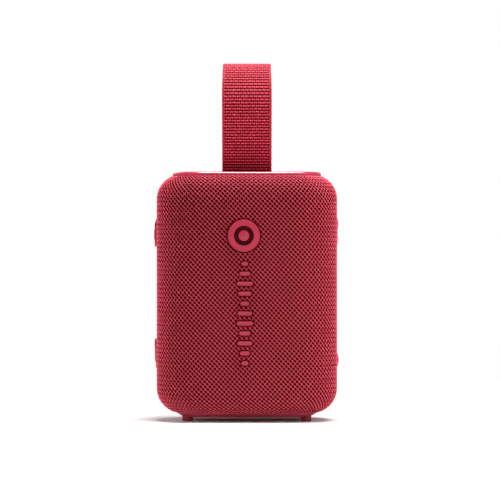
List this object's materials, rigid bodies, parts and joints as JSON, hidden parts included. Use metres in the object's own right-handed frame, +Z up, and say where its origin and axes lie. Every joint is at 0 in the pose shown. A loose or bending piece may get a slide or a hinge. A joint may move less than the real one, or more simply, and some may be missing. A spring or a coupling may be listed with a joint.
{
  "type": "portable wireless speaker",
  "caption": "Pocket-size upright wireless speaker wrapped in knitted mesh, with a webbing carry loop on top, side keys, a charging-port flap and raised front marks.",
  "frame": {"origin": "centre of the footprint on the surface the feet stand on", "axes": "+Z up, the front with the raised marks faces -Y, the volume and play keys are on +X"},
  "size_m": [0.0732, 0.044, 0.1426],
  "materials": {
    "knit_fabric": "matt knitted mesh",
    "webbing": "woven webbing, slight sheen",
    "red_plastic": "fine satin texture",
    "red_rubber": "soft matt",
    "black_plastic": "moulded, fine grain",
    "black_steel": "semi-gloss paint",
    "steel": "zinc plated",
    "magnet_plate": "nickel plated",
    "copper": "enamelled winding",
    "cone_paper": "coated pulp",
    "spider_cloth": "impregnated cloth",
    "black_rubber": "matt",
    "foam": "closed-cell foam",
    "circuit": "solder mask",
    "chip": "moulded epoxy",
    "battery_sleeve": "shrink sleeve",
    "clear_plastic": "clear moulding"
  },
  "bodies": {
    "enclosure": {"fabric_sleeve": "knit_fabric", "top_cap": "red_plastic", "base_plate": "red_plastic", "foot_1": "red_rubber", "foot_2": "red_rubber", "foot_3": "red_rubber", "foot_4": "red_rubber", "mark_disc": "red_rubber", "mark_bars": "red_rubber", "main_housing": "black_plastic", "rear_cover": "black_plastic", "front_grille": "black_plastic", "rear_grille": "black_plastic", "passive_frame": "black_plastic", "driver_basket": "black_steel", "strap_bar": "steel", "cover_screw_1": "steel", "cover_screw_2": "steel", "cover_screw_3": "steel", "cover_screw_4": "steel", "base_screw_1": "steel", "base_screw_2": "steel", "driver_yoke": "steel", "driver_top_plate": "steel", "usb_port": "steel", "radio_module": "steel", "microphone": "steel", "driver_magnet": "magnet_plate", "driver_terminal": "copper", "battery_lead": "black_rubber", "speaker_lead": "black_rubber", "microphone_boot": "black_rubber", "housing_gasket": "foam", "driver_gasket": "foam", "battery_cradle": "foam", "main_board": "circuit", "left_key_board": "circuit", "right_key_board": "circuit", "amplifier_chip": "chip", "processor_chip": "chip", "power_switch": "chip", "volume_up_switch": "chip", "volume_down_switch": "chip", "play_switch": "chip", "battery_cell": "battery_sleeve", "status_lens": "clear_plastic", "status_led": "clear_plastic", "battery_socket": "clear_plastic"},
    "strap": {"strap_loop": "webbing"},
    "power_button": {"power_key": "red_rubber"},
    "volume_button": {"volume_rocker": "red_rubber"},
    "play_button": {"play_key": "red_rubber"},
    "flap": {"port_flap": "red_rubber"},
    "cone_assembly": {"driver_cone": "cone_paper", "dust_cap": "cone_paper", "voice_coil": "copper", "driver_surround": "black_rubber", "driver_spider": "spider_cloth"},
    "passive_radiator": {"passive_plate": "black_plastic", "passive_surround": "black_rubber"}
  },
  "joints": [
    {"name": "strap_swing", "type": "hinge", "parent": "enclosure", "child": "strap", "pos_m": [0, 0, 0.0967], "axis": [1, 0, 0], "range_deg": [-25, 25], "stiffness_Nm_per_rad": 0.008},
    {"name": "power_press", "type": "slide", "parent": "enclosure", "child": "power_button", "axis": [1, 0, 0], "range_m": [0, 0.0003], "stiffness_N_per_m": 300},
    {"name": "volume_rock", "type": "hinge", "parent": "enclosure", "child": "volume_button", "pos_m": [0.0348, 0, 0.0754], "axis": [0, 1, 0], "range_deg": [-2, 2], "stiffness_Nm_per_rad": 0.1},
    {"name": "play_press", "type": "slide", "parent": "enclosure", "child": "play_button", "axis": [-1, 0, 0], "range_m": [0, 0.0003], "stiffness_N_per_m": 300},
    {"name": "flap_open", "type": "hinge", "parent": "enclosure", "child": "flap", "pos_m": [-0.0368, 0.0032, 0.0267], "axis": [0, 0, -1], "range_deg": [0, 110]},
    {"name": "cone_travel", "type": "slide", "parent": "enclosure", "child": "cone_assembly", "axis": [0, 1, 0], "range_m": [-0.0012, 0.0012], "stiffness_N_per_m": 800, "deforming": ["driver_surround", "driver_spider"]},
    {"name": "passive_travel", "type": "slide", "parent": "enclosure", "child": "passive_radiator", "axis": [0, 1, 0], "range_m": [-0.002, 0.002], "stiffness_N_per_m": 500, "deforming": ["passive_surround"]}
  ]
}
